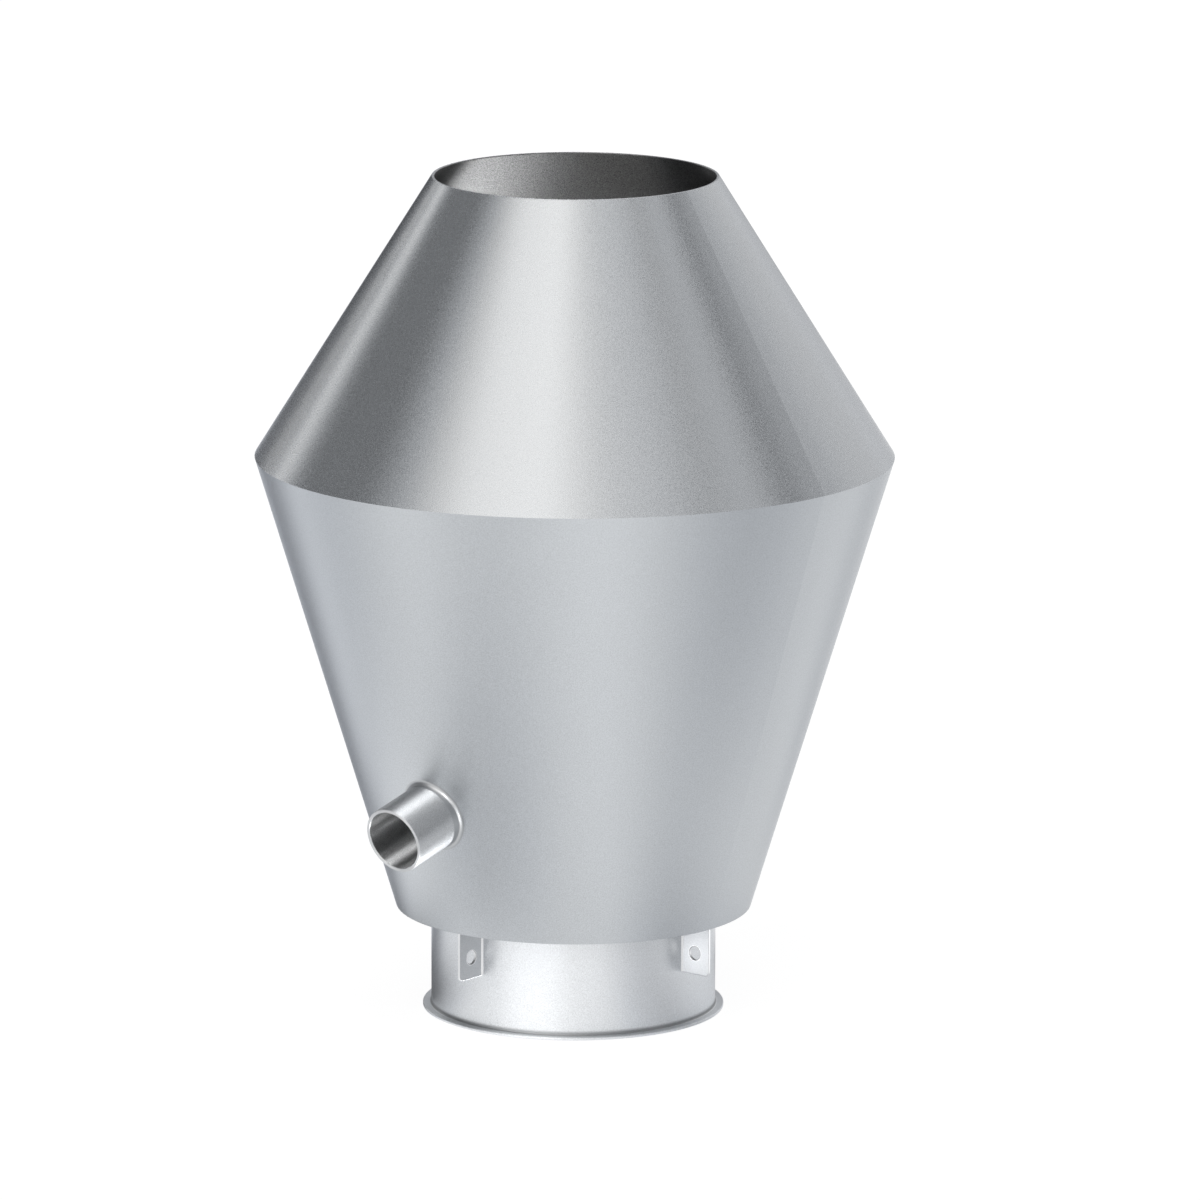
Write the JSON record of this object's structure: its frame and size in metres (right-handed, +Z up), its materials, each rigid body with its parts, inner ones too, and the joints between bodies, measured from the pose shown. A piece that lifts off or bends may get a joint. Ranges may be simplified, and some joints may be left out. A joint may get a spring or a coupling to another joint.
{
  "type": "deflector hood",
  "caption": "Double-cone hood for the top of a round duct, with an inner rain catcher, a sloping drain spout, holed bracket tabs and a lipped inlet.",
  "frame": {"origin": "on the duct's axis at the underside of the lip, which is the middle of the box's base", "axes": "+Z up along the duct's axis to the outlet, -Y towards the drain spout"},
  "size_m": [0.455, 0.455, 0.603],
  "materials": {
    "sheet": "satin pickled stainless sheet with a fine grain",
    "plate": "satin stainless plate with dressed edges",
    "pipe": "bright satin stainless pipe",
    "weld": "bright weld metal"
  },
  "bodies": {
    "root": {"spigot": "sheet", "lower_cone": "sheet", "upper_cone": "sheet", "rain_catcher": "sheet", "drain_pipe": "pipe", "drain_end_plate": "plate", "drain_weld": "weld", "catcher_weld": "weld", "bracket_welds": "weld", "bracket_front": "plate", "catcher_stay_front": "plate", "bracket_right": "plate", "catcher_stay_right": "plate", "bracket_back": "plate", "catcher_stay_back": "plate", "bracket_left": "plate", "catcher_stay_left": "plate"}
  },
  "joints": []
}
